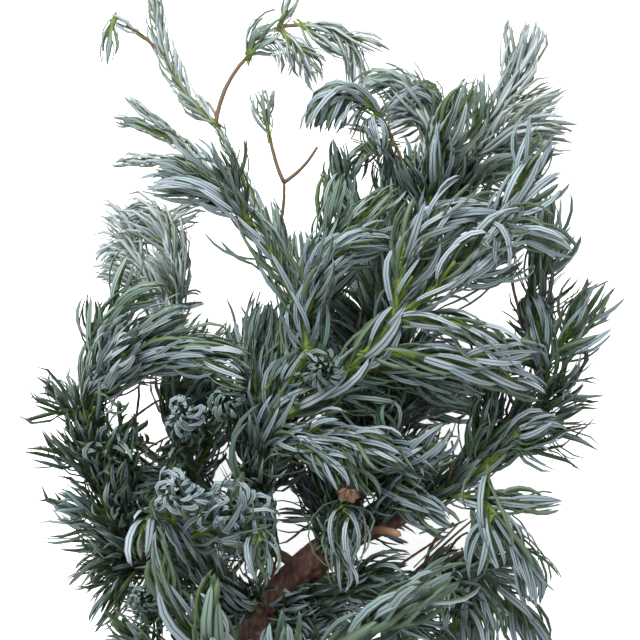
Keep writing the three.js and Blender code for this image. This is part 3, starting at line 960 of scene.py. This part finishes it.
BARK_STEP = 0.3
BARK_SIDES = 40
BARK, CUT_WOOD, CUT_RING, YOUNG_BARK, OLD_WOOD = range(5)
# Share of the radius and kind of each ring of a cut end, from its rim inwards
CUT_RINGS = ((0.9, BARK), (0.74, CUT_WOOD), (0.58, CUT_RING), (0.4, CUT_WOOD), (0.2, CUT_RING))


def bark_height(place, turn, radius):
    """Height of the bark over its limb: long fissures, and flakes that lift at their ends."""
    across = turn * radius
    long_way = Vector((math.cos(turn) * radius * 1.5, math.sin(turn) * radius * 1.5, place * 0.22))
    ridges = noise.noise(long_way * 1.3)
    fissure = -max(0.0, 0.18 - abs(noise.noise(long_way * 0.9 + Vector((7, 3, 1))))) * 3.2
    flake = noise.noise(Vector((math.cos(turn) * 3, math.sin(turn) * 3, place * 0.9)))
    return (0.16 * ridges + 0.3 * fissure + 0.10 * max(flake, 0)
            + 0.02 * math.sin(across * 9 + place))


def wood(pile, line, foot_radius, tip_radius, cut_foot, young=1.0, torn=0.0):
    """A woody limb with the bark's relief, green past young. A cut foot has pale rings,
    which are uneven where it was torn off."""
    steps = int(line.full / BARK_STEP)
    places = np.linspace(0, line.full, steps)
    spots, ahead, side, over = line.at(places)
    turns = np.arange(BARK_SIDES) * 2 * math.pi / BARK_SIDES
    points = []
    for index, place in enumerate(places):
        radius = foot_radius + (tip_radius - foot_radius) * place / line.full
        for turn in turns:
            reach = radius + bark_height(place, turn, radius) * min(1, radius / 1.6)
            points.append(spots[index] + turned(side[index], over[index], turn) * reach)
    quads, step, corner = between_rings(steps, BARK_SIDES, True)
    edge = young * steps + 5 * np.sin(corner * 0.9) + 3 * np.sin(corner * 2.1)
    quads, quad_kinds = [quads], [np.where(step > edge, YOUNG_BARK, BARK)]
    foot_ring = outer = np.arange(BARK_SIDES)
    for ring, (share, kind) in enumerate(CUT_RINGS if cut_foot else ()):
        inner = len(points) + foot_ring
        for turn in turns:
            uneven = math.sin(3 * turn + ring) + 2 * torn * math.sin(5 * turn + 2 * ring)
            depth = (0.05 if ring else 0.12) + 0.14 * torn * uneven
            reach = foot_radius * share * (1 + 0.03 * uneven)
            points.append(spots[0] + turned(side[0], over[0], turn) * reach - ahead[0] * depth)
        quads.append(np.stack([outer, np.roll(outer, -1), np.roll(inner, -1), inner], axis=1))
        patch = np.sin(turns * 2 + ring * 1.7) + np.sin(turns * 5 - ring) > 0.4
        quad_kinds.append(np.where(patch & (torn > 0) & (ring > 0), OLD_WOOD, kind))
        outer = inner
    middle = len(points)
    points += [spots[0] - ahead[0] * 0.05, spots[-1] + ahead[-1] * tip_radius * 0.8]
    tip_ring = (steps - 1) * BARK_SIDES + foot_ring
    thirds = np.concatenate([fan(outer, middle), fan(tip_ring, middle + 1, True)])
    kinds = np.repeat([CUT_WOOD if cut_foot else BARK, BARK], BARK_SIDES)
    pile.add(np.array(points), np.concatenate(quads), np.concatenate(quad_kinds), thirds, kinds)


# Stub where a side bough broke off: carrier and place on it, tip from the model's own
# origin, the way that its end faces, radius at foot and tip
STUBS = (
    ("leader", 0.3, (3.7, -22.8, 23.8), (-0.1, -0.8, 0.58), 1.3, 1.6),
)
# Bare brown or tan twigs in the openings: carrier and place on it, tip, bow, and radius
# at foot and tip
BARE_TWIGS = table("""
right_bough 0.17 10.4 -28.2 20.8 0 0.4 1 0.62 0.5
low_right_bough 0.55 12.6 -33.5 12 0 0.4 0 0.3 0.22
low_right_bough 0.5 20.1 -26.4 17.8 0.3 0.5 0 0.25 0.14
low_right_bough 0.35 16.5 -28.5 17.8 0.2 0.6 0 0.25 0.14
low_right_bough 0.6 21.1 -29.6 16.8 0.2 0.8 0 0.22 0.12
right_bough 0.5 17.3 -15.8 20.8 0.6 0.2 0 0.25 0.14
left_bough 0.8 -21.1 -10.5 18.8 -0.4 0.6 0 0.25 0.14
left_bough 0.7 -19.8 -15.3 18.8 -0.4 0.6 0 0.22 0.12
low_right_bough 0.7 17.8 -26.8 17 -0.8 1.4 0 0.3 0.18
low_right_bough 0.85 19.6 -28.2 15 -0.6 0.9 0 0.25 0.15
right_edge_bough 0.55 25 7.4 21 -0.9 -0.8 0.3 0.26 0.18
right_bough 0.9 21.5 -14.5 19 0 1.2 0 0.28 0.18
right_bough 0.8 15.5 -11.5 17 0.5 1.5 0 0.28 0.18
left_bough 0.85 -21.5 -16.5 16 0.8 0.6 0 0.28 0.18
left_bough 0.75 -24 -8.5 15 1.5 -0.6 0 0.26 0.16
""")

limb_piles = {}
for name, (foot_radius, tip_radius) in radii.items():
    pile = limb_piles.setdefault("woody_limbs" if name in WOODY else "green_limbs", Pile())
    if name in WOODY:
        wood(pile, lines[name], foot_radius, tip_radius, name == "stem", WOODY[name])
    else:
        kind = BROWN_STEM if name == "thin_twig" else GREEN_STEM
        tube(pile, lines[name], foot_radius * SLIM, tip_radius * SLIM, LIMB_SIDES, kind, SMOOTH,
             BROWN_FEET)

for carrier, at, tip, facing, foot_radius, tip_radius in STUBS:
    foot, tip = lines[carrier].share(at), np.array(tip) + ORIGIN
    bend = tip - np.array(facing) * 2.6
    # It is laid out from its torn end, which is the one with rings
    line = arc(tip, (foot + tip) / 4 + bend / 2, foot)
    wood(limb_piles["woody_limbs"], line, tip_radius, foot_radius, True, torn=1.0)
for carrier, at, *place, foot_radius, tip_radius in BARE_TWIGS:
    kind = TAN_STEM if foot_radius > TAN_RADIUS else BROWN_STEM
    line = arc(*bowed(carrier, at, place))
    tube(stems, line, foot_radius, tip_radius, STEM_SIDES, kind, KNOTTY)


# Materials

def surface(name, colour, roughness):
    """A plain material of one base colour."""
    material = bpy.data.materials.new(name)
    material.use_nodes = True
    shader = material.node_tree.nodes["Principled BSDF"]
    shader.inputs["Base Color"].default_value = (*colour, 1)
    shader.inputs["Roughness"].default_value = roughness
    return material


# Place on the grain's range, and colour
BARK_TONES = ((0.32, (0.03, 0.013, 0.009)), (0.5, (0.08, 0.034, 0.024)),
              (0.72, (0.165, 0.09, 0.066)))


def bark_surface():
    """Red-brown bark, with darker and paler browns laid on by a stretched noise."""
    material = surface("bark", (0.1, 0.05, 0.035), 0.85)
    nodes, links = material.node_tree.nodes, material.node_tree.links
    place = nodes.new("ShaderNodeTexCoord")
    stretch = nodes.new("ShaderNodeMapping")
    stretch.inputs["Scale"].default_value = (1400, 500, 1400)
    links.new(place.outputs["Object"], stretch.inputs["Vector"])
    grain = nodes.new("ShaderNodeTexNoise")
    grain.inputs["Scale"].default_value = 1.0
    grain.inputs["Detail"].default_value = 5
    links.new(stretch.outputs["Vector"], grain.inputs["Vector"])
    ramp = nodes.new("ShaderNodeValToRGB")
    ramp.color_ramp.elements.new(0.5)
    for element, (position, colour) in zip(ramp.color_ramp.elements, BARK_TONES):
        element.position, element.color = position, (*colour, 1)
    links.new(grain.outputs["Fac"], ramp.inputs["Fac"])
    links.new(ramp.outputs["Color"], nodes["Principled BSDF"].inputs["Base Color"])
    return material


needle_materials = [surface(f"{tint}_{part}", colour, 0.55)
                    for tint, colours in TINTS.items()
                    for part, colour in zip(PARTS_OF_TINT, colours)]
stem_materials = [surface("green_stem", (0.105, 0.165, 0.02), 0.6),
                  surface("brown_stem", (0.115, 0.072, 0.036), 0.7),
                  surface("tan_stem", (0.3, 0.165, 0.095), 0.75)]
wood_materials = [bark_surface(), surface("cut_wood", (0.44, 0.3, 0.21), 0.8),
                  surface("cut_wood_ring", (0.36, 0.238, 0.13), 0.8), stem_materials[GREEN_STEM],
                  surface("old_wood", (0.23, 0.12, 0.085), 0.85)]

made = [pile.make(f"{group}_{number}", needle_materials)
        for group, row in piles.items() for number, pile in enumerate(row)]
for piece in made:
    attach(piece, "root")
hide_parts(*[row[0] for row in SPRAYS])
shoot_stems = stems.make("shoot_stems", stem_materials)
green_limbs = limb_piles["green_limbs"].make("green_limbs", stem_materials)
for piece in (shoot_stems, green_limbs):
    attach(piece, "root")
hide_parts(*[name for name in radii if name not in WOODY])
woody_limbs = limb_piles["woody_limbs"].make("woody_limbs", wood_materials)
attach(woody_limbs, "root")
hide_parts(*WOODY)

# Floor, light and camera
bpy.ops.mesh.primitive_plane_add(size=4)
floor = bpy.context.object
floor.name = "floor"
paper = surface("paper", (0.9, 0.9, 0.9), 0.9)
# It gives off some light, so that it shows as white
glow = paper.node_tree.nodes["Principled BSDF"].inputs
glow["Emission Color"].default_value = (1, 1, 1, 1)
glow["Emission Strength"].default_value = 0.8
floor.data.materials.append(paper)

world = bpy.data.worlds.new("sky")
bpy.context.scene.world = world
world.use_nodes = True
sky = world.node_tree.nodes["Background"].inputs
sky["Color"].default_value, sky["Strength"].default_value = (1, 1, 1, 1), 1.0

key = bpy.data.lights.new("key", "AREA")
key.size, key.energy = 0.35, 10.0
lamp = new_object("key", key)
lamp.location = (-0.25, 0.55, 0.6)
toward_bough = Vector((0, 0, 0.02)) - lamp.location
lamp.rotation_euler = toward_bough.to_track_quat("-Z", "Y").to_euler()

camera_data = bpy.data.cameras.new("camera")
camera_data.sensor_width = SENSOR
camera_data.lens = SENSOR * CAMERA_ABOVE / VIEW_WIDTH
camera = new_object("camera", camera_data)
camera.location = (AIM[0] * MM, AIM[1] * MM, (FOCUS_HEIGHT + CAMERA_ABOVE) * MM)
bpy.context.scene.camera = camera
bpy.context.scene.view_settings.view_transform = "Standard"
